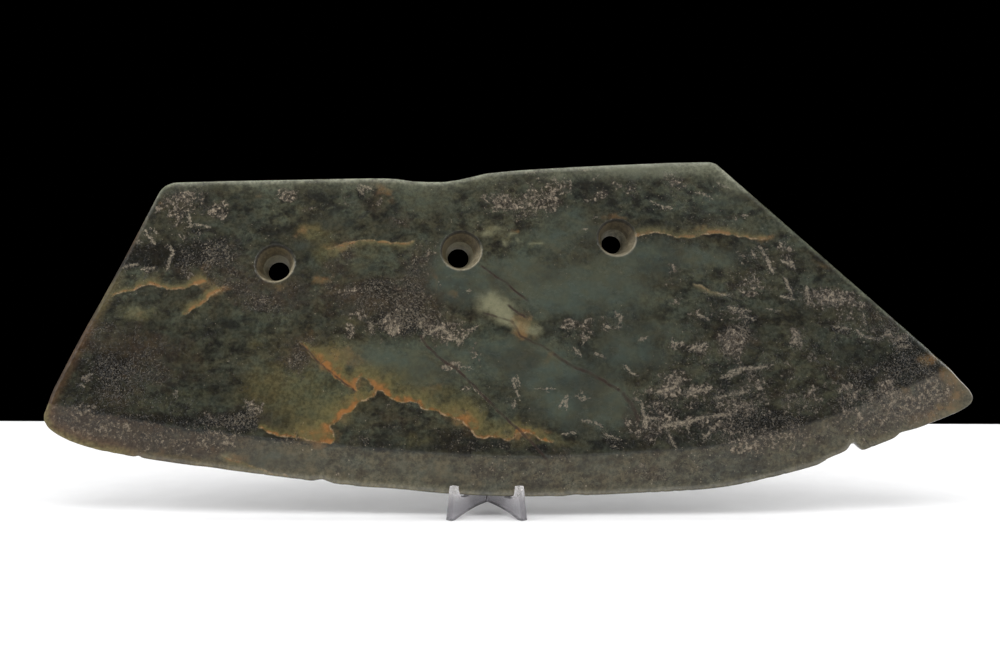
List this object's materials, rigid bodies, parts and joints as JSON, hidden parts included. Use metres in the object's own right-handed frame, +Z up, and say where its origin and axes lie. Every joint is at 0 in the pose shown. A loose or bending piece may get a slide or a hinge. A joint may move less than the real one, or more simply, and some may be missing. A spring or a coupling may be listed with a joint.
{
  "type": "polished jade axe blade on a display stand",
  "caption": "Long thin polished stone blade with slanted ends, a bevelled edge and drilled holes, leaning in a small clear three-legged stand.",
  "frame": {"origin": "centre of the object's box on the surface that the stand's feet rest on", "axes": "+Z up; +X along the blade towards its pointed end; -Y out of the blade's front face, which leans back towards +Y"},
  "size_m": [0.3808, 0.0762, 0.1454],
  "materials": {
    "jade": "polished dark green stone, mottled brown, with orange veins and pale mineral crust",
    "acrylic": "clear see-through acrylic with polished edges"
  },
  "bodies": {
    "root": {"axe_blade": "jade", "display_stand": "acrylic"}
  },
  "joints": []
}
